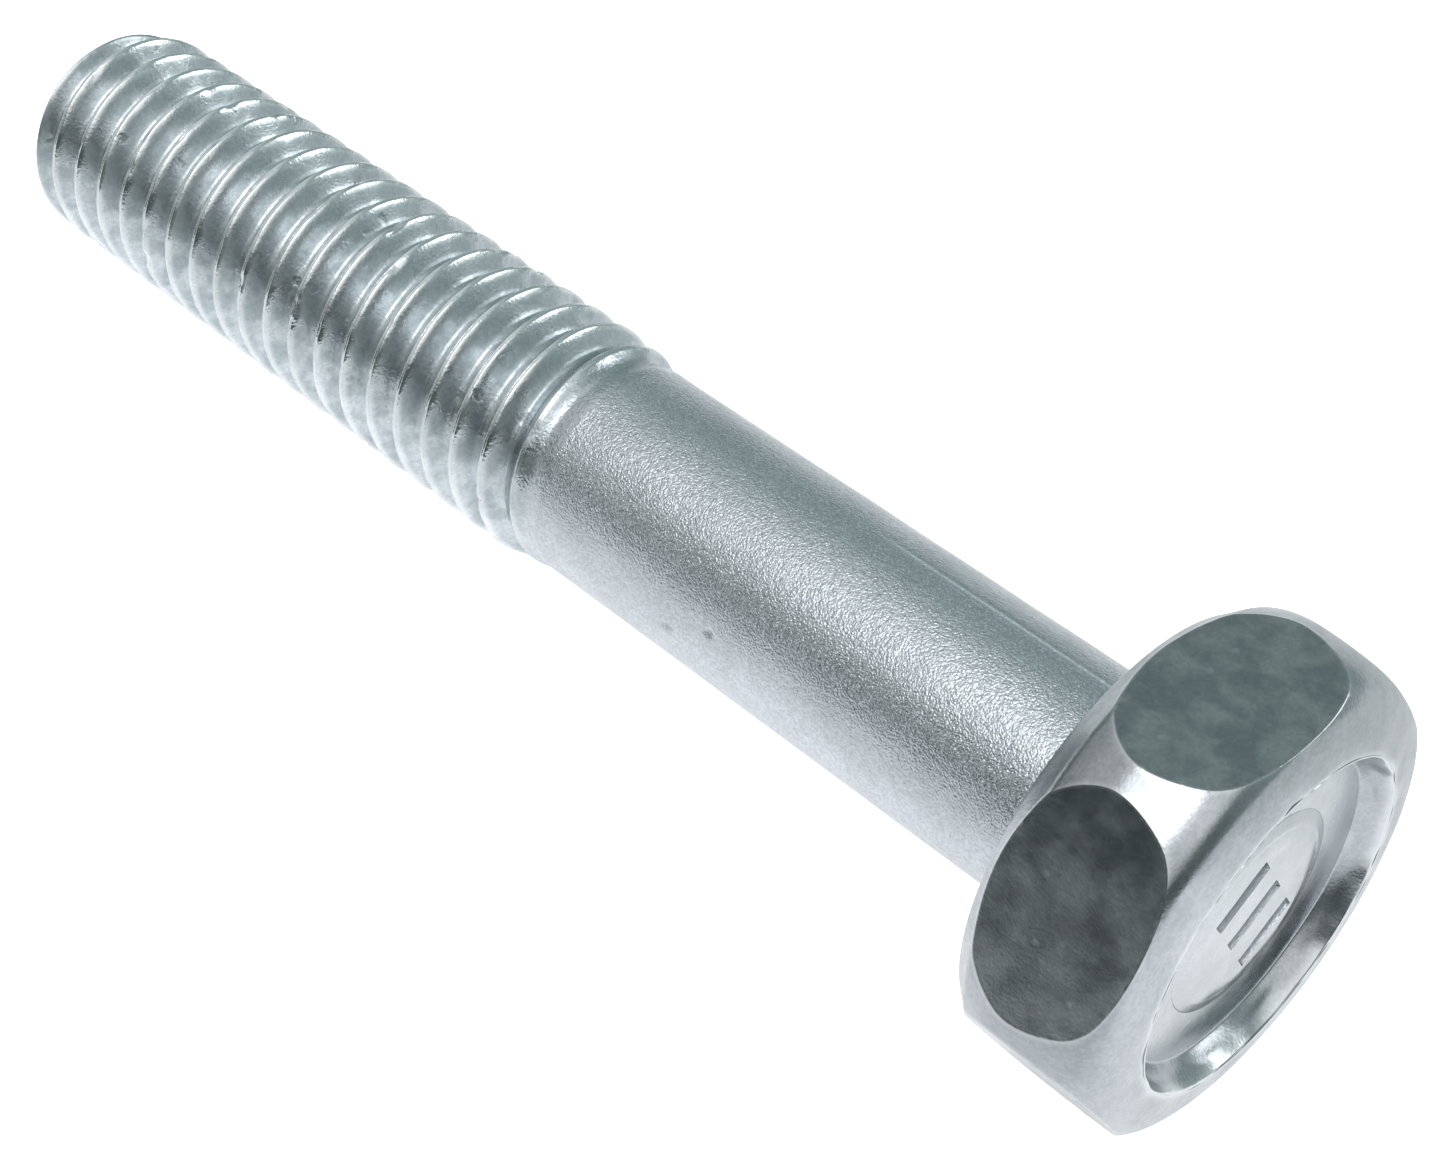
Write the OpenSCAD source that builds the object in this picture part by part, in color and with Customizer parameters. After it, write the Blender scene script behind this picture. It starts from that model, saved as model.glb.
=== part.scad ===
// Hex bolt with a dished, double-rounded head, a reduced plain shank and a rolled thread.
// The bolt lies along +X: the bearing face under the head is at X = 0, the point is at +X,
// and two of the six flats face +Z and -Z. All sizes are in millimetres.

/* [Bolt] */
// Length from the bearing face to the point
bolt_length = 35; // [28:1:60]
// Outside diameter over the thread crests
thread_diameter = 5.95; // [5.8:0.05:6]
// Distance from one crest to the next
thread_pitch = 1; // [0.9:0.05:1.1]
// Length of full thread, point included
thread_length = 18.6; // [16:0.2:22]
// Length over which the thread fades into the plain shank
runout_length = 1.8; // [1:0.1:2.5]
// Diameter of the plain shank, which is close to the thread's pitch diameter
shank_diameter = 5.36; // [5.2:0.02:5.5]

/* [Head] */
// Width between opposite flats
across_flats = 10; // [9.8:0.05:10]
// Height of the head, from the bearing face to the top of the rim
head_height = 3.85; // [3.8:0.05:4.1]
// Largest diameter, over the rounded corners
across_corners = 11.22; // [11.1:0.02:11.4]
// Diameter of the flat bearing face
bearing_diameter = 9.64; // [9.2:0.04:9.8]
// Height of the cone that breaks the bearing edge
bearing_break = 0.5; // [0.3:0.05:0.7]
// Distance from the bearing face to the widest part of the corners
corner_start = 1.45; // [1.2:0.05:1.6]
// Distance from the bearing face to where the top rounding begins
corner_end = 1.9; // [1.8:0.05:2.1]
// Diameter at which the top rounding meets the nearly flat top
top_diameter = 9.5; // [9.2:0.1:9.8]
// Height of the rim crest above the edge of the top rounding
rim_rise = 0.1; // [0.05:0.01:0.15]
// Radius of the fillet between shank and bearing face
fillet_radius = 0.3; // [0.2:0.05:0.4]
// Depth below the bearing face at which the neck's core meets the head
core_depth = 0.5; // [0.3:0.1:1]

/* [Dish] */
// Diameter of the rim crest around the dish
rim_diameter = 7.8; // [7.6:0.1:8.4]
// Diameter at the foot of the dish wall
dish_diameter = 7.1; // [6.6:0.1:7.2]
// Depth of the dish at the foot of its wall
dish_depth = 0.6; // [0.5:0.05:0.7]
// Extra depth of the dish at its centre
dish_cone = 0.1; // [0.06:0.02:0.2]

/* [Marking pad] */
// Diameter of the raised round pad in the dish
pad_diameter = 4.8; // [4.4:0.1:5.2]
// Height of the pad's top below the rim crest
pad_drop = 0.46; // [0.42:0.02:0.5]
// Number of parallel sunk dashes
dash_count = 3; // [1:1:3]
// Length of each sunk dash
dash_length = 1.6; // [1:0.1:2]
// Width of each sunk dash
dash_width = 0.42; // [0.3:0.02:0.5]
// Distance from one dash to the next
dash_spacing = 1.2; // [1:0.1:1.4]
// Turn of the dashes about the bolt's axis
dash_angle = 60; // [0:5:180]
// Depth of each dash below the pad's top
dash_depth = 0.34; // [0.28:0.02:0.4]

/* [Point] */
// Diameter of the flat end face
point_diameter = 4.6; // [4.4:0.1:4.8]
// Length of the chamfer at the point
point_length = 0.9; // [0.7:0.05:1.1]
// Angle around the axis at which the crest leaves the end face
crest_end_angle = 261; // [0:1:359]

/* [Hidden] */
thread_radius = thread_diameter / 2;
root_radius = thread_radius - 0.6134 * thread_pitch;
shank_radius = shank_diameter / 2;
corner_radius = across_corners / 2;
bearing_radius = bearing_diameter / 2;
top_radius = top_diameter / 2;
rim_radius = rim_diameter / 2;
dish_radius = dish_diameter / 2;
pad_radius = pad_diameter / 2;
point_radius = point_diameter / 2;
thread_start = bolt_length - thread_length;
runout_start = thread_start - runout_length;
point_start = bolt_length - point_length;
// the bearing-side cone ends this much inside the widest corner radius
break_radius = bearing_radius + 0.97 * bearing_break;
neck_length = fillet_radius + 0.1;
// the bearing face is a ring around the neck's core
core_radius = shank_radius + fillet_radius;
inner_wall = rim_radius - dish_radius;
pad_height = dish_depth + dish_cone - pad_drop;
arc_steps = 8;
columns = 36;
// half-widths of the flat crest and of the flat root, as shares of the pitch
crest_half = 0.07;
root_half = 0.13;
profile = [-crest_half, crest_half, 0.5 - root_half, 0.5 + root_half];
profile_count = len(profile);
// whole turns of the helix from the end face back past the run-out
turns_back = ceil((bolt_length - runout_start) / thread_pitch) + 2;
far = 20;

// turns a shape of revolution about Z so that its axis lies along X
module along_x() {
  rotate([0, 90, 0]) children();
}

// points of a quarter ellipse from angle_a to angle_b, as [radius, height] pairs
function quarter(centre, radii, angle_a, angle_b) = [
  for (step = [0 : arc_steps])
    let (angle = angle_a + (angle_b - angle_a) * step / arc_steps)
    centre + [radii[0] * cos(angle), radii[1] * sin(angle)]
];

// outline of the head, from the bearing face up over the corners and the rim into the dish
function head_outline() = concat(
  [[0, -core_depth], [core_radius, -core_depth], [core_radius, 0], [bearing_radius, 0]],
  quarter(
    [break_radius, -corner_start],
    [corner_radius - break_radius, corner_start - bearing_break],
    90, 0
  ),
  quarter(
    [top_radius, -corner_end],
    [corner_radius - top_radius, head_height - rim_rise - corner_end],
    0, -90
  ),
  [
    [rim_radius + 0.1, 0.01 - head_height],
    [rim_radius, -head_height],
    [rim_radius - 0.45 * inner_wall, dish_depth * 0.2 - head_height],
    [dish_radius + 0.1 * inner_wall, dish_depth * 0.8 - head_height],
    [dish_radius - 0.1, dish_depth - head_height],
    [pad_radius, dish_depth + dish_cone - head_height],
    [0, dish_depth + dish_cone - head_height]
  ]
);

// the dashes lie side by side across the pad and are cut through it into the head
module dashes() {
  rotate([0, 0, dash_angle])
    for (place = [0 : dash_count - 1])
      translate([
        -dash_length / 2,
        dash_spacing * (place - (dash_count - 1) / 2) - dash_width / 2,
        pad_drop - head_height - 1
      ])
        cube([dash_length, dash_width, 1 + dash_depth]);
}

module hex_head() {
  color([0.60, 0.64, 0.66])
    along_x()
      difference() {
        intersection() {
          rotate_extrude($fn = 96)
            polygon(head_outline());
          rotate([0, 0, 30])
            translate([0, 0, -head_height - 1])
              cylinder(h = head_height + 2, r = across_flats / 2 / cos(30), $fn = 6);
        }
        dashes();
      }
}

module marking_pad() {
  color([0.70, 0.73, 0.76])
    along_x()
      difference() {
        translate([0, 0, pad_drop - head_height])
          cylinder(h = pad_height, r = pad_radius, $fn = 96);
        dashes();
      }
}

// a short collar whose side is the fillet under the head, with its core in the head
module neck_fillet() {
  color([0.62, 0.66, 0.68])
    along_x()
      rotate_extrude($fn = 96)
        polygon(concat(
          [[0, neck_length], [0, -core_depth], [core_radius, -core_depth]],
          [
            for (step = [0 : arc_steps - 1])
              let (angle = 90 * step / arc_steps)
              [
                shank_radius + fillet_radius * (1 - sin(angle)),
                fillet_radius * (1 - cos(angle))
              ]
          ],
          [[shank_radius, fillet_radius], [shank_radius, neck_length]]
        ));
}

module plain_shank() {
  color([0.64, 0.68, 0.70])
    along_x()
      translate([0, 0, neck_length])
        cylinder(h = runout_start - neck_length, r = shank_radius, $fn = 96);
}

// distance along X of the helix at a column, for a step of the profile
function helix_x(column, step) =
  bolt_length - thread_pitch * (crest_end_angle / 360 - column / columns)
  + thread_pitch * (profile[step % profile_count] + floor(step / profile_count) - turns_back);

// radius of the thread form at a share of the pitch from the crest, 0 to 0.5
function form_radius(share) =
  share <= crest_half ? thread_radius
  : share >= 0.5 - root_half ? root_radius
  : thread_radius
    - (thread_radius - root_radius) * (share - crest_half) / (0.5 - root_half - crest_half);

// share of the full thread depth at a place along the bolt
function fade(x) = min(1, max(0, (x - runout_start) / runout_length));

// largest radius that the chamfer leaves at a place along the bolt
function chamfer_radius(x) =
  point_radius + (thread_radius - point_radius) * (bolt_length - x) / point_length;

function surface_radius(x, column) =
  let (
    turns = (x - helix_x(column, 0)) / thread_pitch - crest_half,
    share = abs(turns - round(turns)),
    full = form_radius(share)
  )
  min(
    chamfer_radius(x),
    shank_radius + fade(x) * (full - shank_radius)
  );

function surface_point(x, column) =
  let (
    radius = surface_radius(x, column),
    angle = 360 * column / columns
  )
  [x, radius * cos(angle), radius * sin(angle)];

// closed solid of the thread between two places along the bolt; the mesh lines follow the
// helix, and the lines that run past either end are gathered into that end's ring
module thread_span(from_x, to_x) {
  step_count = profile_count * (turns_back + 2);
  last = columns * (step_count + 1);
  points = concat(
    [
      for (step = [0 : step_count], column = [0 : columns - 1])
        surface_point(
          min(to_x, max(from_x, helix_x(column, step))),
          column
        )
    ],
    [for (column = [0 : columns - 1]) surface_point(from_x, column)],
    [for (column = [0 : columns - 1]) surface_point(to_x, column)]
  );
  // index of a mesh corner: the column after the last one is the first column, one turn on
  function corner(column, step) =
    column == columns ? corner(0, step + profile_count)
    : helix_x(column, step) <= from_x + 0.01 ? last + column
    : helix_x(column, step) >= to_x - 0.01 ? last + columns + column
    : step * columns + column;
  triangles = [
    for (step = [0 : step_count - profile_count - 1], column = [0 : columns - 1])
      let (
        a = corner(column, step),
        b = corner(column + 1, step),
        c = corner(column + 1, step + 1),
        d = corner(column, step + 1)
      )
      for (face = [[a, c, b], [a, d, c]])
        if (face[0] != face[1] && face[1] != face[2] && face[2] != face[0]) face
  ];
  ends = [
    [for (column = [0 : columns - 1]) last + column],
    [for (column = [0 : columns - 1]) last + 2 * columns - 1 - column]
  ];
  polyhedron(points = points, faces = concat(triangles, ends), convexity = far);
}

module thread_runout() {
  color([0.66, 0.70, 0.71])
    thread_span(runout_start, thread_start);
}

module rolled_thread() {
  color([0.58, 0.63, 0.64])
    thread_span(thread_start, point_start);
}

module chamfered_point() {
  color([0.56, 0.60, 0.61])
    thread_span(point_start, bolt_length);
}

hex_head();
marking_pad();
neck_fillet();
plain_shank();
thread_runout();
rolled_thread();
chamfered_point();
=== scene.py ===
import math

import bmesh
import bpy
from mathutils import Matrix, Vector, noise


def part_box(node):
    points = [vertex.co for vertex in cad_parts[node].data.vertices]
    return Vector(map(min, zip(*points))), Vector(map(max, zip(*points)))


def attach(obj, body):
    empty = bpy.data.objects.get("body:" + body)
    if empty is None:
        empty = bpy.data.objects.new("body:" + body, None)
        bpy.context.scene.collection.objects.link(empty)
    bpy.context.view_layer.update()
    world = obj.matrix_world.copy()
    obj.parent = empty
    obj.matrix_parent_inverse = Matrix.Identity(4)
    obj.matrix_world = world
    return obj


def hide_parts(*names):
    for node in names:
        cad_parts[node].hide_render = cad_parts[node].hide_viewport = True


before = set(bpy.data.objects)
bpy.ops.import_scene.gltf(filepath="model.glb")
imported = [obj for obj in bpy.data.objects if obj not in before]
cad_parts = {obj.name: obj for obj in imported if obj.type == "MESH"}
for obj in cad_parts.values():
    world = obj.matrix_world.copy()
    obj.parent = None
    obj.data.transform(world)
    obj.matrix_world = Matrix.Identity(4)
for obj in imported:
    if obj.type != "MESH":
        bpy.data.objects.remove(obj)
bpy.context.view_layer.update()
mm = 0.001
axisX = Vector((1, 0, 0))
cutTolerance = 0.0005 * mm  # points nearer than this are one
print("frame loaded with", len(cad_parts), "nodes")

# places along the bolt and radii, all from the frame
headLow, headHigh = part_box("hex_head")
padLow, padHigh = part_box("marking_pad")
neckLow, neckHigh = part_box("neck_fillet")
shankLow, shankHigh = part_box("plain_shank")
runoutLow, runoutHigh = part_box("thread_runout")
threadLow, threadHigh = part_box("rolled_thread")
pointLow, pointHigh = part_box("chamfered_point")
halfFlats = headHigh.z
cornerRadius = headHigh.y
topPlace = headLow.x  # the rim's crest, furthest back along the axis
shankRadius = shankHigh.z
threadRadius = threadHigh.z
boltEnd = pointHigh.x


# shared making: a smooth rise from 0 to 1
def smoothStep(low, high, value):
    t = min(1, max(0, (value - low) / (high - low)))
    return t * t * (3 - 2 * t)


# turn of a point about the bolt's axis, from +Y towards +Z
def turnOf(place):
    return math.atan2(place.z, place.y)


# a dense line in the (x, radius) plane, each corner rounded over its own cut
def roundedLine(corners, step):
    curvePoints = 5
    line = []
    for i, (x, r, cut) in enumerate(corners):
        here = Vector((x, r))
        if cut == 0 or i in (0, len(corners) - 1):
            line.append(here)
            continue
        start = here + (Vector(corners[i - 1][:2]) - here).normalized() * cut
        end = here + (Vector(corners[i + 1][:2]) - here).normalized() * cut
        for k in range(curvePoints + 1):
            t = k / curvePoints
            line.append(start.lerp(here, t).lerp(here.lerp(end, t), t))
    dense = [line[0]]
    for a, b in zip(line, line[1:]):
        count = max(1, math.ceil((b - a).length / step))
        dense += [a.lerp(b, (k + 1) / count) for k in range(count)]
    return dense


# spins a line about the bolt's axis into a closed solid
def turned(line, steps):
    bm = bmesh.new()
    chain = [bm.verts.new((p[0], p[1], 0)) for p in line]
    edges = [bm.edges.new(pair) for pair in zip(chain, chain[1:])]
    bmesh.ops.spin(bm, geom=chain + edges, cent=(0, 0, 0), axis=axisX, dvec=(0, 0, 0),
                   angle=math.tau, steps=steps, use_merge=True)
    bmesh.ops.remove_doubles(bm, verts=bm.verts, dist=cutTolerance)
    bmesh.ops.recalc_face_normals(bm, faces=bm.faces)
    bm.normal_update()
    return bm


# moves points along their normals by slow noise, so that no surface is perfectly true
def roughen(bm, depth, size, seed, share):
    offset = Vector((seed, -seed, 0))
    moves = [(v, v.normal * depth * share(v.co) * noise.noise(v.co / size + offset)) for v in bm.verts]
    for v, move in moves:
        v.co += move


# 1 on a line and fading to both sides of it
def nearLine(distance, width):
    return math.exp(-(distance / width) ** 2)


def everything(bm):
    return bm.verts[:] + bm.edges[:] + bm.faces[:]


# turns a bmesh into a piece on the body that stands for its CAD nodes
def makePiece(bm, name, nodes, material, sharpDegrees=50):
    for f in bm.faces:
        f.smooth = True
    for e in bm.edges:
        if len(e.link_faces) == 2 and e.calc_face_angle(0) > math.radians(sharpDegrees):
            e.smooth = False
    mesh = bpy.data.meshes.new(name)
    bm.to_mesh(mesh)
    bm.free()
    piece = bpy.data.objects.new(name, mesh)
    bpy.context.scene.collection.objects.link(piece)
    mesh.materials.append(material)
    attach(piece, "root")
    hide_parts(*nodes)
    print("made", name, "with", len(mesh.polygons), "faces")
    return piece


# a node with its inputs set or linked
def addNode(tree, kind, inputs=None, **settings):
    node = tree.nodes.new(kind)
    for key, value in settings.items():
        setattr(node, key, value)
    for key, value in (inputs or {}).items():
        if isinstance(value, bpy.types.NodeSocket):
            tree.links.new(value, node.inputs[key])
        else:
            node.inputs[key].default_value = value
    return node


def doMath(tree, operation, *values):
    return addNode(tree, "ShaderNodeMath", dict(enumerate(values)), operation=operation).outputs[0]


def doVector(tree, operation, *values, **named):
    inputs = dict(enumerate(values))
    inputs.update(named)
    return addNode(tree, "ShaderNodeVectorMath", inputs, operation=operation).outputs[0]


def remap(tree, value, low, high, outLow=0.0, outHigh=1.0):
    limits = {"From Min": low, "From Max": high, "To Min": outLow, "To Max": outHigh}
    return addNode(tree, "ShaderNodeMapRange", {"Value": value, **limits},
                   interpolation_type="SMOOTHSTEP").outputs[0]


# the mix node's colour sockets are 6 and 7, and its colour result is 2
def mixColour(tree, share, first, second, blend="MIX"):
    node = addNode(tree, "ShaderNodeMix", {0: share, 6: first, 7: second},
                   data_type="RGBA", blend_type=blend)
    return node.outputs[2]


def useGroup(tree, group, inputs):
    return addNode(tree, "ShaderNodeGroup", inputs, node_tree=group).outputs


def readAttribute(tree, name):
    return addNode(tree, "ShaderNodeAttribute", attribute_name=name).outputs["Fac"]


def newGroup(name, inputs, outputs):
    group = bpy.data.node_groups.new(name, "ShaderNodeTree")
    for label, value in inputs.items():
        kind = "NodeSocketVector" if value is None else "NodeSocketFloat"
        socket = group.interface.new_socket(label, in_out="INPUT", socket_type=kind)
        if value is not None:
            socket.default_value = value
    for label in outputs:
        group.interface.new_socket(label, in_out="OUTPUT", socket_type="NodeSocketFloat")
    given = group.nodes.new("NodeGroupInput").outputs
    out = group.nodes.new("NodeGroupOutput").inputs
    return group, given, out


# rounded bumps of one size with a finer crinkle on them, as blasted and plated wire has
def makePebbleGroup():
    group, given, out = newGroup("pebbleGrain", {"Coordinates": None, "Per Metre": 10000.0},
                                 ["Height", "Glint"])
    place = doVector(group, "SCALE", given["Coordinates"], Scale=given["Per Metre"])
    broad = addNode(group, "ShaderNodeTexNoise",
                    {"Vector": place, "Scale": 0.4, "Detail": 1.0}).outputs[0]
    fine = addNode(group, "ShaderNodeTexNoise", {"Vector": place, "Scale": 1.0, "Detail": 1.5,
                                                 "Roughness": 0.6, "Distortion": 0.3}).outputs[0]
    crystals = addNode(group, "ShaderNodeTexVoronoi", {"Vector": place, "Scale": 0.9}, feature="F1")
    mounds = remap(group, crystals.outputs["Distance"], 0.7, 0.05)
    height = doMath(group, "MULTIPLY", mounds, 0.3)
    height = doMath(group, "ADD", height, doMath(group, "MULTIPLY", fine, 0.9))
    height = doMath(group, "ADD", height, doMath(group, "MULTIPLY", broad, 0.6))
    group.links.new(height, out["Height"])
    one = addNode(group, "ShaderNodeSeparateColor", {0: crystals.outputs["Color"]}).outputs[0]
    group.links.new(one, out["Glint"])
    return group


# soft cloudy patches with clear edges here and there
def makeMottleGroup():
    group, given, out = newGroup("mottledPlating",
                                 {"Coordinates": None, "Per Metre": 1500.0, "Contrast": 0.5}, ["Patches"])
    place = doVector(group, "SCALE", given["Coordinates"], Scale=given["Per Metre"])
    cloud = addNode(group, "ShaderNodeTexNoise", {"Vector": place, "Scale": 1.0, "Detail": 2.5,
                                                  "Roughness": 0.5, "Distortion": 0.2}).outputs[0]
    half = doMath(group, "MULTIPLY", given["Contrast"], 0.35)
    low, high = doMath(group, "SUBTRACT", 0.85, half), doMath(group, "ADD", 0.15, half)
    group.links.new(remap(group, cloud, low, high), out["Patches"])
    return group


# fine marks drawn along the bolt's axis
def makeDragGroup():
    group, given, out = newGroup("axialDrag",
                                 {"Coordinates": None, "Per Metre": 12000.0, "Stretch": 0.05}, ["Height"])
    squeeze = addNode(group, "ShaderNodeCombineXYZ", {0: given["Stretch"], 1: 1.0, 2: 1.0}).outputs[0]
    place = doVector(group, "MULTIPLY", given["Coordinates"], squeeze)
    place = doVector(group, "SCALE", place, Scale=given["Per Metre"])
    lines = addNode(group, "ShaderNodeTexNoise", {"Vector": place, "Scale": 1.0, "Detail": 2.0}).outputs[0]
    group.links.new(lines, out["Height"])
    return group


# scattered small knocks; Amount is the share of cells that hold one
def makeKnockGroup():
    group, given, out = newGroup("smallKnocks",
                                 {"Coordinates": None, "Per Metre": 1200.0, "Amount": 0.15}, ["Knocks"])
    place = doVector(group, "SCALE", given["Coordinates"], Scale=given["Per Metre"])
    wobble = addNode(group, "ShaderNodeTexNoise", {"Vector": place, "Scale": 3.0}).outputs[1]
    place = doVector(group, "ADD", place, doVector(group, "SCALE", wobble, Scale=0.35))
    cells = addNode(group, "ShaderNodeTexVoronoi", {"Vector": place, "Scale": 1.0}, feature="F1")
    draw = addNode(group, "ShaderNodeSeparateColor", {0: cells.outputs["Color"]}).outputs[0]
    chosen = doMath(group, "LESS_THAN", draw, given["Amount"])
    dot = remap(group, cells.outputs["Distance"], 0.28, 0.1)
    group.links.new(doMath(group, "MULTIPLY", dot, chosen), out["Knocks"])
    return group


pebbleGroup = makePebbleGroup()
mottleGroup = makeMottleGroup()
dragGroup = makeDragGroup()
knockGroup = makeKnockGroup()


# partly wear, partly painted highlight: the near-white colour mixed in on rims, flat edges, thread crests
# and the shank's seam, and as painted sheen on the dish floor and the pad's top
wearAndHighlightColour = (0.93, 0.95, 0.95, 1)


# bright zinc plating; each look has its own grain, patches and knocks
def makeZinc(name, look):
    material = bpy.data.materials.new(name)
    material.use_nodes = True
    tree = material.node_tree
    shader = tree.nodes["Principled BSDF"]
    where = addNode(tree, "ShaderNodeTexCoord").outputs["Object"]

    def use(group, perMetre, **others):
        return useGroup(tree, group, {"Coordinates": where, "Per Metre": perMetre, **others})

    def scaled(value, factor):
        return doMath(tree, "MULTIPLY", value, factor)

    wearAndHighlight = readAttribute(tree, "wearAndHighlight")
    pebbles = use(pebbleGroup, look["grainPerMetre"])
    patches = use(mottleGroup, look["patchPerMetre"], Contrast=look["patchContrast"])["Patches"]
    knocks = use(knockGroup, look["knockPerMetre"], Amount=look["knockShare"])["Knocks"]
    colour = mixColour(tree, patches, (*look["light"], 1), (*look["dark"], 1))
    rough = remap(tree, patches, 0.0, 1.0, look["roughLow"], look["roughHigh"])
    rough = doMath(tree, "SUBTRACT", rough, scaled(wearAndHighlight, look["wearShine"]))
    grain = pebbles["Height"]
    if "trimLight" in look:
        secondFinish = readAttribute(tree, "secondFinish")
        blotches = use(mottleGroup, look["blotchPerMetre"], Contrast=look["blotchContrast"])["Patches"]
        trimColour = mixColour(tree, blotches, (*look["trimLight"], 1), (*look["trimDark"], 1))
        colour = mixColour(tree, secondFinish, colour, trimColour)
        rough = doMath(tree, "ADD", rough, scaled(secondFinish, look["trimRough"]))
        grain = doMath(tree, "MULTIPLY", grain, remap(tree, secondFinish, 0.0, 1.0, 1.0, look["trimGrain"]))
    speckle = remap(tree, pebbles["Glint"], 0.0, 1.0, 1 - look["glint"], 1 + look["glint"])
    grey = addNode(tree, "ShaderNodeCombineColor", {0: speckle, 1: speckle, 2: speckle}).outputs[0]
    colour = mixColour(tree, 1.0, colour, grey, "MULTIPLY")
    # lightens the colour towards near white by the mask read above: partly wear, partly painted highlight
    # and painted sheen
    colour = mixColour(tree, scaled(wearAndHighlight, look["wearAndHighlight"]), colour, wearAndHighlightColour)
    colour = mixColour(tree, scaled(knocks, look["knockDark"]), colour, (*look["knockColour"], 1))
    tree.links.new(colour, shader.inputs["Base Color"])
    tree.links.new(rough, shader.inputs["Roughness"])
    shader.inputs["Metallic"].default_value = 1.0
    height = scaled(grain, look["grainHeight"] * mm)
    if "dragHeight" in look:
        drag = use(dragGroup, look["dragPerMetre"])["Height"]
        height = doMath(tree, "ADD", height, scaled(drag, look["dragHeight"] * mm))
    height = doMath(tree, "SUBTRACT", height, scaled(knocks, look["knockDepth"] * mm))
    bump = addNode(tree, "ShaderNodeBump", {"Height": height, "Strength": 1.0, "Distance": 1.0})
    tree.links.new(bump.outputs[0], shader.inputs["Normal"])
    return material


# the parts of each finish: PerMetre is how fine a pattern is, and heights and depths are in mm
headFinish = {
    "light": (0.42, 0.44, 0.465), "dark": (0.365, 0.39, 0.41), "roughLow": 0.2, "roughHigh": 0.28,
    "patchPerMetre": 1100.0, "patchContrast": 0.2,
    "grainPerMetre": 14000.0, "grainHeight": 0.0022, "glint": 0.06,
    "dragPerMetre": 9000.0, "dragHeight": 0.0003,
    "knockPerMetre": 2600.0, "knockShare": 0.1, "knockDepth": 0.0008,
    "knockDark": 0.3, "knockColour": (0.6, 0.65, 0.66),
    "wearAndHighlight": 0.4, "wearShine": 0.05,
    # the flats are cut, so they are darker and smoother; the pad's dashes take the same colours as painted
    # shade in their hollows
    "trimLight": (0.395, 0.42, 0.43), "trimDark": (0.275, 0.295, 0.315),
    "blotchPerMetre": 1500.0, "blotchContrast": 0.5,
    "trimRough": -0.04, "trimGrain": 0.3,
}
shankFinish = {
    "light": (0.53, 0.56, 0.595), "dark": (0.485, 0.52, 0.55), "roughLow": 0.15, "roughHigh": 0.22,
    "patchPerMetre": 900.0, "patchContrast": 0.3,
    "grainPerMetre": 21000.0, "grainHeight": 0.0175, "glint": 0.1,
    "dragPerMetre": 12000.0, "dragHeight": 0.002,
    "knockPerMetre": 1600.0, "knockShare": 0.02, "knockDepth": 0.006,
    "knockDark": 0.3, "knockColour": (0.2, 0.23, 0.23),
    "wearAndHighlight": 0.8, "wearShine": 0.1,
}
threadFinish = {
    "light": (0.525, 0.57, 0.595), "dark": (0.40, 0.455, 0.475), "roughLow": 0.27, "roughHigh": 0.38,
    "patchPerMetre": 1500.0, "patchContrast": 0.65,
    "grainPerMetre": 14000.0, "grainHeight": 0.0045, "glint": 0.07,
    "knockPerMetre": 1500.0, "knockShare": 0.2, "knockDepth": 0.01,
    "knockDark": 0.3, "knockColour": (0.25, 0.28, 0.28),
    "wearAndHighlight": 0.5, "wearShine": 0.16,
    # towards the shank the thread takes on the shank's finish
    "trimLight": (0.53, 0.56, 0.595), "trimDark": (0.485, 0.52, 0.55),
    "blotchPerMetre": 900.0, "blotchContrast": 0.5,
    "trimRough": -0.12, "trimGrain": 3.5,
}
headZinc = makeZinc("headZinc", headFinish)
shankZinc = makeZinc("shankZinc", shankFinish)
threadZinc = makeZinc("threadZinc", threadFinish)
print("finishes made")


# the forged head with its six trimmed flats
head = {
    "steps": 360,
    "lineStep": 0.09 * mm,
    "bearingRadius": 4.82 * mm,
    # the barrel from the bearing face to the rim: place, radius and rounding in mm
    "barrel": [
        (-0.28, 5.06, 0.12), (-0.55, 5.31, 0.12), (-1.0, 5.48, 0.2), (-1.55, cornerRadius / mm, 0.25),
        (-2.05, 5.60, 0.25), (-2.6, 5.52, 0.25), (-3.1, 5.40, 0.2), (-3.38, 5.24, 0.12),
        (-3.59, 5.01, 0.12), (-3.71, 4.72, 0.12), (-3.79, 4.36, 0.12),
    ],
    "rimRadius": 3.9 * mm,
    "rimDrop": 0.01 * mm,  # how far the rim stays under the CAD's top
    "dishRadius": 3.55 * mm,
    "dishDepth": 0.6 * mm,
    "padSeat": 0.22 * mm,  # the hole under the pad
    "padRoom": 0.03 * mm,
    "flatTurns": [30 + 60 * i for i in range(6)],  # degrees
    "edgeBreak": 0.06 * mm,
    "edgeMerge": 0.014 * mm,  # points this near along a cut edge are joined
    "flatInset": 0.04 * mm,
    "wave": 0.008 * mm,
    "waveSize": 2.6 * mm,
    "dent": 0.05 * mm,
    "dentSize": 0.8 * mm,
    # bands of wear and painted highlight along the rim's crest and the flats' edges
    "rimWearAndHighlightWidth": 0.12 * mm,
    "edgeWearAndHighlightWidth": 0.03 * mm,
    "edgeWearAndHighlight": 0.7,
}
# painted sheen: how far the dish floor and the pad's top are lightened
dishPaintedSheen = 0.45
manySides = 30  # only the trimmed flats have more corners than this


# on the head's outside, away from the dish and the bearing face
def outsideShare(place):
    return (smoothStep(3.4 * mm, 3.7 * mm, place.yz.length)
            * smoothStep(-0.02 * mm, -0.4 * mm, place.x))


def rimShare(place):
    return (smoothStep(4.5 * mm, 3.9 * mm, place.yz.length) * outsideShare(place)
            * smoothStep(-3.4 * mm, -3.6 * mm, place.x))


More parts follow.
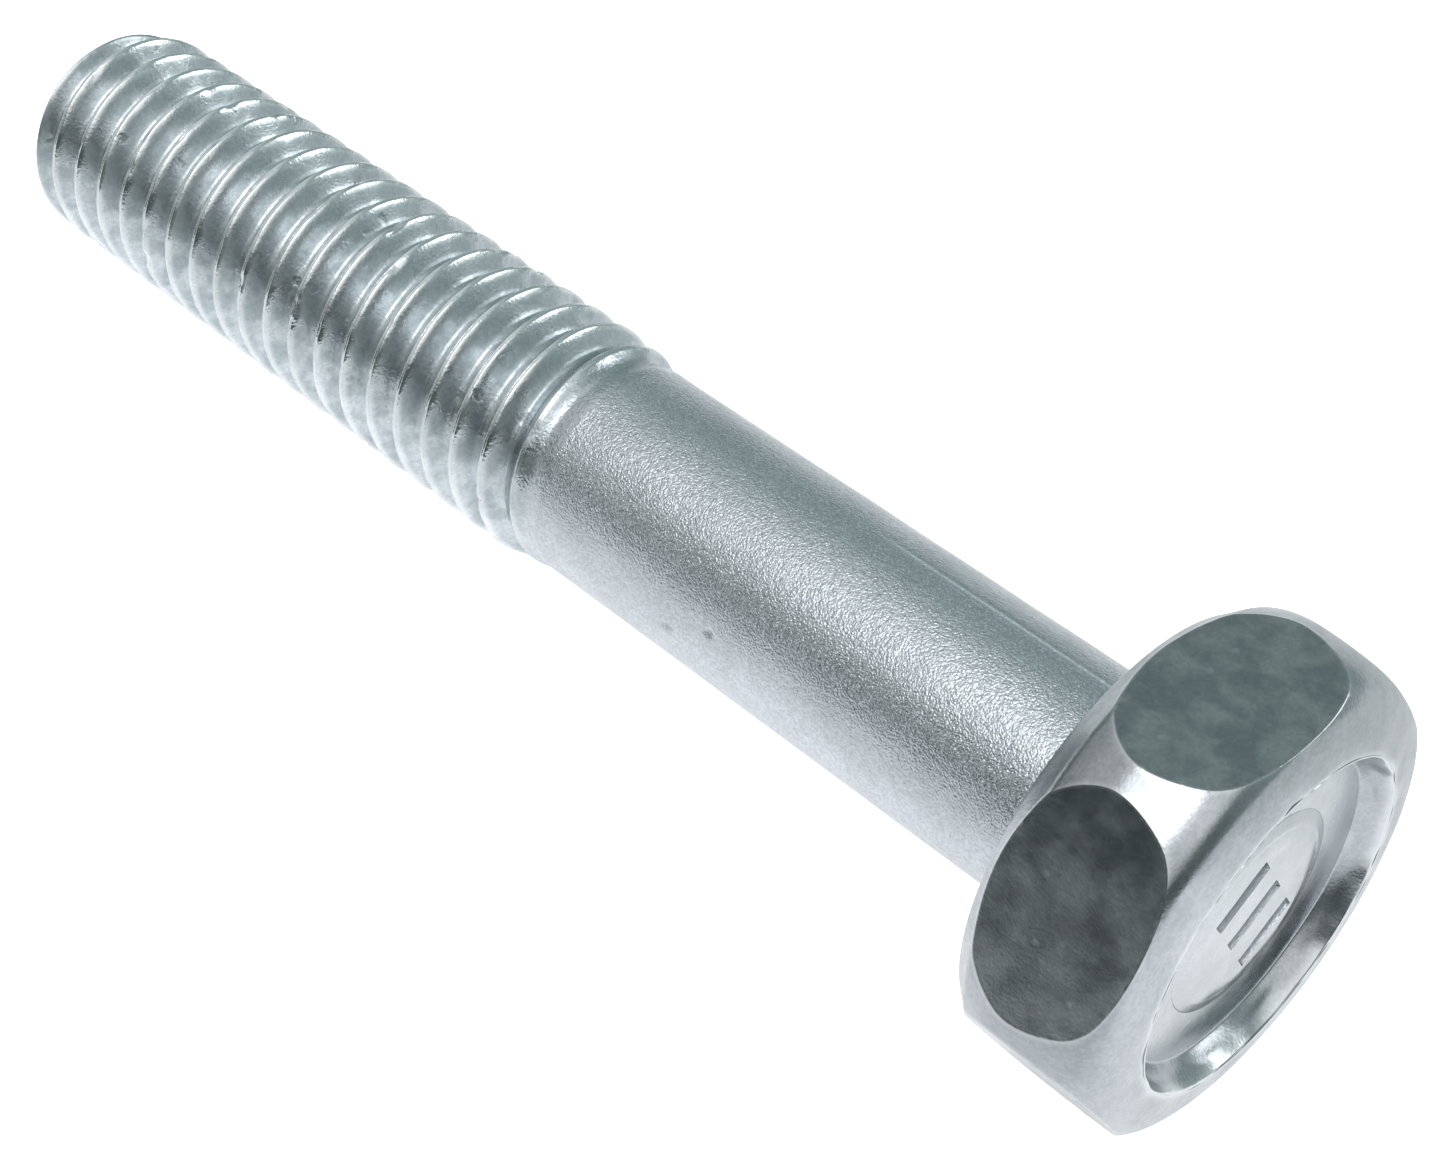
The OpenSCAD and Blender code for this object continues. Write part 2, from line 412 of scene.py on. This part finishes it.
# cuts one flat, breaks its edge and keeps its middle as one face
def cutFlat(bm, flat):
    bmesh.ops.bisect_plane(bm, geom=everything(bm), dist=cutTolerance,
                           plane_co=flat * halfFlats, plane_no=flat, clear_outer=True)
    near = [v for v in bm.verts if v.co.dot(flat) > halfFlats - 0.02 * mm]
    near.sort(key=lambda v: tuple(v.co))  # so that the same points are joined each run
    bmesh.ops.remove_doubles(bm, verts=near, dist=head["edgeMerge"])
    rim = [e for e in bm.edges if e.is_boundary]
    filled = bmesh.ops.holes_fill(bm, edges=rim, sides=0)["faces"]
    rim = [e for f in filled for e in f.edges]
    bmesh.ops.bevel(bm, geom=rim, offset=head["edgeBreak"], offset_type="OFFSET", affect="EDGES",
                    segments=2, profile=0.5, material=-1, clamp_overlap=True)
    big = [f for f in bm.faces if len(f.verts) > manySides and f.normal.dot(flat) > 0.99]
    bmesh.ops.inset_individual(bm, faces=big, thickness=head["flatInset"], use_even_offset=True)


# wear and painted highlight on the head: bright lines along the rim's crest and the flats' edges, and
# painted sheen over the dish floor
def headWearAndHighlight(place, flats):
    radius = place.yz.length
    rim = (nearLine(radius - head["rimRadius"], head["rimWearAndHighlightWidth"])
           * smoothStep(-3.5 * mm, -3.8 * mm, place.x))
    gap = halfFlats - max(place.dot(flat) for flat in flats)
    edge = nearLine(gap, head["edgeWearAndHighlightWidth"]) * smoothStep(0.0002 * mm, 0.004 * mm, gap)
    dish = (smoothStep(head["dishRadius"], head["dishRadius"] - 0.1 * mm, radius)
            * smoothStep(-3.6 * mm, -3.3 * mm, place.x))
    return max(rim, head["edgeWearAndHighlight"] * edge, dishPaintedSheen * dish)


def makeHead():
    rimPlace, rimRadius = topPlace + head["rimDrop"], head["rimRadius"]
    dishFloor = topPlace + head["dishDepth"]
    seatFloor, seatRadius = dishFloor + head["padSeat"], padHigh.y - head["padRoom"]
    core = neckHigh.y
    corners = [(neckLow.x, 0, 0), (neckLow.x, core, 0), (0, core, 0), (0, head["bearingRadius"], 0.05 * mm)]
    corners += [(x * mm, r * mm, cut * mm) for x, r, cut in head["barrel"]]
    corners += [
        (rimPlace, rimRadius + 0.1 * mm, 0.08 * mm), (rimPlace, rimRadius - 0.02 * mm, 0.05 * mm),
        (topPlace + 0.3 * mm, rimRadius - 0.15 * mm, 0.1 * mm),
        (dishFloor, head["dishRadius"], 0.05 * mm), (dishFloor, seatRadius, 0),
        (seatFloor, seatRadius, 0), (seatFloor, 0, 0),
    ]
    bm = turned(roundedLine(corners, head["lineStep"]), head["steps"])
    roughen(bm, head["wave"], head["waveSize"], 4.0, outsideShare)
    roughen(bm, head["dent"], head["dentSize"], 11.0, rimShare)
    for v in bm.verts:  # nothing may stand past the CAD's top
        v.co.x = max(v.co.x, topPlace + 0.002 * mm)
    turns = [math.radians(turn) for turn in head["flatTurns"]]
    flats = [Vector((0, math.cos(turn), math.sin(turn))) for turn in turns]
    for flat in flats:
        cutFlat(bm, flat)
    bmesh.ops.recalc_face_normals(bm, faces=bm.faces)
    wearAndHighlight = bm.verts.layers.float.new("wearAndHighlight")
    secondFinish = bm.verts.layers.float.new("secondFinish")
    for v in bm.verts:
        v[wearAndHighlight] = headWearAndHighlight(v.co, flats)
        v[secondFinish] = float(any(len(f.verts) > manySides for f in v.link_faces))
    return makePiece(bm, "hexHead", ["hex_head"], headZinc, 40)


makeHead()


# the raised pad in the dish, with sunk dashes
pad = {
    "steps": 256,
    "ring": 0.05 * mm,
    "dashCount": 3,
    "dashLength": 1.6 * mm,
    "dashWidth": 0.42 * mm,
    "dashSpacing": 1.2 * mm,
    "dashTurn": -30,  # degrees, the way each dash runs
    "dashDepth": 0.3 * mm,
    "wall": 0.05 * mm,  # how wide the slope at a dash's edge is
    "slope": 0.5 * mm,
    "rise": 0.13 * mm,
    "foot": 0.12 * mm,  # how far the pad goes into the head
    "wave": 0.012 * mm,
    "waveSize": 0.8 * mm,
}


# place along and across the dashes
def dashPlace(place):
    turn = math.radians(pad["dashTurn"])
    along = place.y * math.cos(turn) + place.z * math.sin(turn)
    return along, place.z * math.cos(turn) - place.y * math.sin(turn)


def dashLines():
    middle = (pad["dashCount"] - 1) / 2
    return [pad["dashSpacing"] * (i - middle) for i in range(pad["dashCount"])]


# how far a place on the pad is sunk, from 0 to 1
def dashShare(place):
    along, across = dashPlace(place)
    off = min(abs(across - line) for line in dashLines())
    sides = (pad["dashWidth"] / 2 - off) / pad["wall"]
    ends = (pad["dashLength"] / 2 - abs(along)) / pad["wall"]
    return min(1, max(0, sides)) * min(1, max(0, ends))


# adds mesh lines along the dashes' edges, so that their walls are straight
def scoreDashes(bm):
    turn = math.radians(pad["dashTurn"])
    alongWay = Vector((0, math.cos(turn), math.sin(turn)))
    acrossWay = Vector((0, -math.sin(turn), math.cos(turn)))
    halfWidth, halfLength, wall = pad["dashWidth"] / 2, pad["dashLength"] / 2, pad["wall"]
    cuts = [(acrossWay, line + side) for line in dashLines()
            for side in (-halfWidth, wall - halfWidth, halfWidth - wall, halfWidth)]
    cuts += [(alongWay, side) for side in (-halfLength, wall - halfLength, halfLength - wall, halfLength)]
    for way, reach in cuts:
        bmesh.ops.bisect_plane(bm, geom=everything(bm), dist=0.003 * mm,
                               plane_co=way * reach, plane_no=way, use_snap_center=True)


def makePad():
    top, bottom = padLow.x, padHigh.x + pad["foot"]
    r = padHigh.y
    corners = [(top, 0, 0), (top, r - pad["slope"], 0.24 * mm),
               (top + pad["rise"], r - 0.02 * mm, 0.02 * mm), (top + 0.18 * mm, r - 0.002 * mm, 0),
               (top + 0.26 * mm, r - 0.04 * mm, 0), (bottom, r - 0.04 * mm, 0), (bottom, 0, 0)]
    bm = turned(roundedLine(corners, pad["ring"]), pad["steps"])
    scoreDashes(bm)
    for v in [v for v in bm.verts if v.co.x < top + 0.05 * mm]:
        wave = pad["wave"] * (noise.noise(v.co / pad["waveSize"]) + 1)
        v.co.x += pad["dashDepth"] * dashShare(v.co) + wave
    bm.normal_update()
    wearAndHighlight = bm.verts.layers.float.new("wearAndHighlight")
    secondFinish = bm.verts.layers.float.new("secondFinish")
    for v in bm.verts:
        # the dashes take the flats' darker, smoother finish: painted shade in their hollows
        v[secondFinish] = dashShare(v.co)
        # painted sheen on the pad's top, as in the dish, and none in the dashes
        v[wearAndHighlight] = dishPaintedSheen * (1 - v[secondFinish])
    return makePiece(bm, "markingPad", ["marking_pad"], headZinc, 70)


makePad()


# the collar and fillet between head and shank
neck = {"steps": 240, "lineStep": 0.05 * mm, "fillet": 0.3 * mm, "filletPoints": 8}


def makeNeck():
    core, fillet = neckHigh.y, neck["fillet"]
    corners = [(neckLow.x, 0, 0), (neckLow.x, core, 0), (0, core, 0)]
    for k in range(1, neck["filletPoints"] + 1):
        a = math.radians(90 * k / neck["filletPoints"])
        corners.append((fillet * (1 - math.cos(a)), shankRadius + fillet * (1 - math.sin(a)), 0))
    corners += [(neckHigh.x, shankRadius, 0), (neckHigh.x, 0, 0)]
    bm = turned(roundedLine(corners, neck["lineStep"]), neck["steps"])
    return makePiece(bm, "neckFillet", ["neck_fillet"], shankZinc, 50)


makeNeck()


# the plain shank
shank = {
    "steps": 400,
    "lineStep": 0.12 * mm,
    "sink": 0.006 * mm,  # slow unevenness of the drawn wire
    "sinkSize": 1.6 * mm,
    "trueEnd": 0.3 * mm,  # the sinking fades in from each end over this length
    "seamTurn": 104,  # degrees about the axis
    "seamEnd": 8.0 * mm,
    "seamFade": 3.0 * mm,
    "seamShineFade": 2.0 * mm,
    "seamWidth": 0.05 * mm,
    "seamDepth": 0.012 * mm,
    "seamGap": 0.08 * mm,  # from the bright line to the groove beside it
    # place in mm, turn in degrees, radius in mm and depth in mm
    "pits": [(10.35, -1, 0.09, 0.09), (9.1, 13, 0.08, 0.08)],
}


# a point at a place along the bolt, a turn in degrees and a radius
def onBolt(x, turn, radius):
    turn = math.radians(turn)
    return Vector((x, radius * math.cos(turn), radius * math.sin(turn)))


# distance from the seam, around the shank
def seamDistance(place):
    return abs(turnOf(place) - math.radians(shank["seamTurn"])) * shankRadius


def shankSink(place):
    depth = shank["sink"] * (1 + noise.noise(place / shank["sinkSize"]))
    for x, turn, radius, sink in shank["pits"]:
        centre = onBolt(x * mm, turn, shankRadius)
        depth += sink * mm * nearLine((place - centre).length, radius * mm)
    reach = smoothStep(shank["seamEnd"], shank["seamEnd"] - shank["seamFade"], place.x)
    groove = nearLine(seamDistance(place) - shank["seamGap"], shank["seamWidth"])
    depth += shank["seamDepth"] * reach * groove
    ends = (smoothStep(0, shank["trueEnd"], place.x - shankLow.x)
            * smoothStep(0, shank["trueEnd"], shankHigh.x - place.x))
    return depth * ends


def makeShank():
    corners = [(shankLow.x, 0, 0), (shankLow.x, shankRadius, 0),
               (shankHigh.x, shankRadius, 0), (shankHigh.x, 0, 0)]
    bm = turned(roundedLine(corners, shank["lineStep"]), shank["steps"])
    for v in [v for v in bm.verts if v.co.yz.length > shankRadius - 0.001 * mm]:
        scale = 1 - shankSink(v.co) / shankRadius
        v.co.y *= scale
        v.co.z *= scale
    bm.normal_update()
    wearAndHighlight = bm.verts.layers.float.new("wearAndHighlight")
    for v in bm.verts:
        # painted highlight: a bright line of colour along the seam, beside its groove, fading out away from
        # the head
        reach = smoothStep(shank["seamEnd"], shank["seamEnd"] - shank["seamShineFade"], v.co.x)
        v[wearAndHighlight] = nearLine(seamDistance(v.co), shank["seamWidth"]) * reach
    return makePiece(bm, "plainShank", ["plain_shank"], shankZinc, 50)


makeShank()


# one helical strip, cut into the run-out, the full thread and the point
thread = {
    "pitch": 1.0 * mm,
    "crestPlace": 32.276 * mm,  # a crest's place along the bolt at +Y
    "turns": 23,
    "turnsBelow": 19,  # how many of them start before crestPlace
    "stepsPerTurn": 120,
    # where the mesh lines run between two roots, in pitches from the crest
    "shares": [-0.5, -0.45, -0.4, -0.35, -0.3, -0.25, -0.2, -0.16,
               -0.13, -0.105, -0.085, -0.065, -0.045, -0.025, 0.0],
    "merge": 0.004 * mm,
    "crestHalf": 0.055,
    "rootHalf": 0.13,
    "softness": 0.12,
    "seamDepth": 0.025 * mm,  # the rolling seam along each crest
    "seamHalf": 0.022,
    "nick": 0.06 * mm,
    "nickSize": 0.45 * mm,
    "crestWave": 0.012 * mm,
    "crestWaveSize": 0.25 * mm,
    "pit": (33.0, 85, 0.2, 0.22),  # place mm, turn degrees, radius mm, depth mm
    "pointRadius": 2.3 * mm,
    "pointSoftness": 0.06 * mm,  # rounding where the chamfer meets the crests
    "endEdge": 0.12 * mm,
    "shankFade": 1.1 * mm,  # how far the shank's finish reaches into the run-out
}
threadDepth = 0.52 * thread["pitch"]  # the rolled root is rounded, so it is shallower than the full form


def softClamp(value, softness):
    low = 0.5 * (value + math.sqrt(value * value + softness * softness))
    high = 1 - low
    return 1 - 0.5 * (high + math.sqrt(high * high + softness * softness))


def formRadius(share):
    slope = (0.5 - thread["rootHalf"] - abs(share)) / (0.5 - thread["rootHalf"] - thread["crestHalf"])
    groove = thread["seamDepth"] * nearLine(share, thread["seamHalf"])
    return threadRadius - threadDepth * (1 - softClamp(slope, thread["softness"])) - groove


def crestShare(place):
    turns = (place.x - thread["crestPlace"]) / thread["pitch"] - turnOf(place) / math.tau
    return turns - round(turns)


def chamferRadius(x):
    length = pointHigh.x - pointLow.x
    reach = thread["pointRadius"] + (threadRadius - thread["pointRadius"]) * (boltEnd - x) / length
    edge = thread["endEdge"]
    past = max(0, x - (boltEnd - edge))
    return reach - (edge - math.sqrt(max(0, edge * edge - past * past)))


# the radius held under a limit, with a soft corner where they meet
def heldUnder(limit, radius, softness):
    gap = (limit - radius) / softness
    return limit - softness * 0.5 * (gap + math.sqrt(gap * gap + 1)) if gap < 6 else radius


def threadStrip():
    bm = bmesh.new()
    shares = thread["shares"] + [-s for s in reversed(thread["shares"][:-1])]
    start = thread["crestPlace"] - thread["turnsBelow"] * thread["pitch"]
    chain = [bm.verts.new((start + s * thread["pitch"], formRadius(s), 0)) for s in shares]
    edges = [bm.edges.new(pair) for pair in zip(chain, chain[1:])]
    bmesh.ops.spin(bm, geom=chain + edges, cent=(0, 0, 0), axis=axisX,
                   dvec=(thread["pitch"] / thread["stepsPerTurn"], 0, 0),
                   angle=math.tau, steps=thread["stepsPerTurn"], use_merge=False)
    oneTurn = everything(bm)
    for i in range(1, thread["turns"]):
        copied = bmesh.ops.duplicate(bm, geom=oneTurn)["geom"]
        bmesh.ops.translate(bm, verts=[g for g in copied if isinstance(g, bmesh.types.BMVert)],
                            vec=axisX * thread["pitch"] * i)
    bmesh.ops.remove_doubles(bm, verts=bm.verts, dist=thread["merge"])
    bmesh.ops.recalc_face_normals(bm, faces=bm.faces)
    wearAndHighlight = bm.verts.layers.float.new("wearAndHighlight")
    secondFinish = bm.verts.layers.float.new("secondFinish")
    pitX, pitTurn, pitWidth, pitDepth = thread["pit"]
    pitPlace = onBolt(pitX * mm, pitTurn, 0.9 * threadRadius)
    for v in bm.verts:
        full = v.co.yz.length
        fade = smoothStep(runoutLow.x - 0.05 * mm, runoutHigh.x, v.co.x)
        radius = shankRadius + fade * (full - shankRadius)
        crest = smoothStep(0.16, 0.06, abs(crestShare(v.co))) * fade
        # painted highlight, partly wear: the colour is lightened along each crest
        v[wearAndHighlight] = crest
        v[secondFinish] = smoothStep(runoutLow.x + thread["shankFade"], runoutLow.x, v.co.x)
        knock = noise.noise(v.co / thread["nickSize"] + Vector((7, 3, 1)))
        radius -= thread["nick"] * crest * smoothStep(0.35, 0.7, knock)
        radius -= thread["crestWave"] * crest * (noise.noise(v.co / thread["crestWaveSize"]) + 1)
        radius -= pitDepth * mm * nearLine((v.co - pitPlace).length, pitWidth * mm)
        radius = heldUnder(chamferRadius(v.co.x), radius, thread["pointSoftness"])
        radius = min(radius, threadRadius - 0.001 * mm)
        scale = radius / full
        v.co.y *= scale
        v.co.z *= scale
    bm.normal_update()
    if sum(f.normal.dot(Vector((0, *f.calc_center_median().yz))) for f in bm.faces) < 0:
        bmesh.ops.reverse_faces(bm, faces=bm.faces)
    bm.normal_update()
    kept = bm.verts.layers.float_vector.new("stripNormal")
    for v in bm.verts:
        v[kept] = v.normal
    return bm


# one stretch of the strip, closed at both ends; its sides keep the strip's own normals
def cutThread(strip, name, node, low, high):
    bm = strip.copy()
    for place, facing in ((low, -axisX), (high, axisX)):
        cut = bmesh.ops.bisect_plane(bm, geom=everything(bm), dist=cutTolerance,
                                     plane_co=(place, 0, 0), plane_no=facing, clear_outer=True)
        rim = [e for e in cut["geom_cut"] if isinstance(e, bmesh.types.BMEdge) and e.is_boundary]
        caps = bmesh.ops.holes_fill(bm, edges=rim, sides=0)["faces"]
        for f in caps:
            f.normal_update()
            if f.normal.dot(facing) < 0:
                f.normal_flip()
    piece = makePiece(bm, name, [node], threadZinc, 60)
    mesh = piece.data
    strips = mesh.attributes["stripNormal"].data
    normals = []
    for polygon in mesh.polygons:
        flat = abs(polygon.normal.x) > 0.999
        for corner in polygon.loop_indices:
            normals.append(polygon.normal if flat else strips[mesh.loops[corner].vertex_index].vector)
    mesh.normals_split_custom_set([tuple(n) for n in normals])
    return piece


strip = threadStrip()
cutThread(strip, "threadRunout", "thread_runout", runoutLow.x, runoutHigh.x)
cutThread(strip, "rolledThread", "rolled_thread", threadLow.x, threadHigh.x)
cutThread(strip, "chamferedPoint", "chamfered_point", pointLow.x, pointHigh.x)
strip.free()


# floor and light
studio = {
    "floorColour": (0.86, 0.86, 0.87),
    "glowColour": (0.985, 0.975, 1.0),
    "nearGlow": 0.52,
    "farGlow": 0.04,
    "nearReach": 2.5 * mm,
    "farReach": 13 * mm,
    "fillPower": 0.03,
    "fillSize": 120 * mm,
    "fillHeight": 150 * mm,
    "fillBeside": 20 * mm,
    "floorSize": 3.0,  # metres
    "floorRoughness": 0.9,
    "skyColour": (0.80, 1.0, 1.0),
    "skyBase": 0.10,
    "backSky": 0.42,
    "backFrom": 0.2,  # the sky turns from base to back between these directions along Y
    "backTo": -0.5,
    # direction, degrees to nothing and to full, light
    "lights": [
        ((0.43, 0.32, 0.845), (56, 17), 0.64),
        ((0.04, 0.37, 0.93), (25, 9), 2.2),
        ((-0.52, 0.30, 0.80), (42, 8), 1.1),
        ((-0.44, -0.76, 0.475), (18, 9), 2.4),
    ],
}


# the bolt rests on its head and on the thread's end, so the floor leans a little
def makeFloor():
    bm = bmesh.new()
    bmesh.ops.create_grid(bm, x_segments=2, y_segments=2, size=studio["floorSize"])
    mesh = bpy.data.meshes.new("paleFloor")
    headTouch = Vector((-0.3 * mm, 0, -halfFlats))
    tipTouch = Vector((boltEnd - 1.0 * mm, 0, -threadRadius))
    lean = math.atan2(tipTouch.z - headTouch.z, tipTouch.x - headTouch.x)
    bmesh.ops.rotate(bm, verts=bm.verts, cent=(0, 0, 0), matrix=Matrix.Rotation(-lean, 3, "Y"))
    bmesh.ops.translate(bm, verts=bm.verts, vec=headTouch)
    bm.to_mesh(mesh)
    bm.free()
    floor = bpy.data.objects.new("paleFloor", mesh)
    bpy.context.scene.collection.objects.link(floor)
    material = bpy.data.materials.new("palePaper")
    material.use_nodes = True
    tree = material.node_tree
    shader = tree.nodes["Principled BSDF"]
    shader.inputs["Base Color"].default_value = (*studio["floorColour"], 1)
    shader.inputs["Roughness"].default_value = studio["floorRoughness"]
    shader.inputs["Emission Color"].default_value = (*studio["glowColour"], 1)
    seen = addNode(tree, "ShaderNodeLightPath").outputs["Is Camera Ray"]
    where = addNode(tree, "ShaderNodeTexCoord").outputs["Object"]
    away = doMath(tree, "ABSOLUTE", addNode(tree, "ShaderNodeSeparateXYZ", {0: where}).outputs[1])
    # a pool of light along the bolt, which only reflections see
    pool = remap(tree, away, studio["nearReach"], studio["farReach"], studio["nearGlow"], studio["farGlow"])
    glow = remap(tree, seen, 0.0, 1.0, pool, 1.0)
    tree.links.new(glow, shader.inputs["Emission Strength"])
    mesh.materials.append(material)


makeFloor()


def makeSky():
    world = bpy.data.worlds.new("studio")
    bpy.context.scene.world = world
    world.use_nodes = True
    tree = world.node_tree
    back = tree.nodes["Background"]
    way = addNode(tree, "ShaderNodeTexCoord").outputs["Generated"]

    def glowTowards(direction, spread, light):
        facing = addNode(tree, "ShaderNodeVectorMath", {0: way, 1: Vector(direction).normalized()},
                         operation="DOT_PRODUCT").outputs["Value"]
        wide, full = (math.cos(math.radians(a)) for a in spread)
        return doMath(tree, "MULTIPLY", remap(tree, facing, wide, full), light)

    soft = 0.0
    for direction, spread, light in studio["lights"]:
        soft = doMath(tree, "ADD", glowTowards(direction, spread, light), soft)
    sides = addNode(tree, "ShaderNodeSeparateXYZ", {0: way}).outputs[1]
    dim = remap(tree, sides, studio["backFrom"], studio["backTo"], studio["skyBase"], studio["backSky"])
    whole = doVector(tree, "ADD", doVector(tree, "SCALE", studio["skyColour"], Scale=dim), soft)
    tree.links.new(whole, back.inputs["Color"])


makeSky()


# lights the floor only, so that the bolt shades it
def makeFill():
    data = bpy.data.lights.new("overheadFill", "AREA")
    data.energy = studio["fillPower"]
    data.size = studio["fillSize"]
    lamp = bpy.data.objects.new("overheadFill", data)
    bpy.context.scene.collection.objects.link(lamp)
    lamp.location = (boltEnd / 2, studio["fillBeside"], studio["fillHeight"])
    lamp.visible_glossy = False


makeFill()


# the camera
view = {
    "place": (-17.627, 29.151, 38.297),  # mm
    "forward": (0.5091, -0.5129, -0.6911),
    "up": (0.4958, -0.4816, 0.7227),
    "lens": 62.33,
    "sensor": 36,
    "near": 1 * mm,
    "far": 20,
}


def makeCamera():
    data = bpy.data.cameras.new("camera")
    camera = bpy.data.objects.new("camera", data)
    bpy.context.scene.collection.objects.link(camera)
    data.sensor_width = view["sensor"]
    data.lens = view["lens"]
    data.clip_start = view["near"]
    data.clip_end = view["far"]
    back = -Vector(view["forward"]).normalized()
    right = Vector(view["up"]).cross(back).normalized()
    up = back.cross(right)
    turn = Matrix((right, up, back)).transposed()
    camera.matrix_world = Matrix.Translation(Vector(view["place"]) * mm) @ turn.to_4x4()
    bpy.context.scene.camera = camera


makeCamera()
bpy.context.scene.view_settings.view_transform = "Standard"
print("stage, light and camera set")
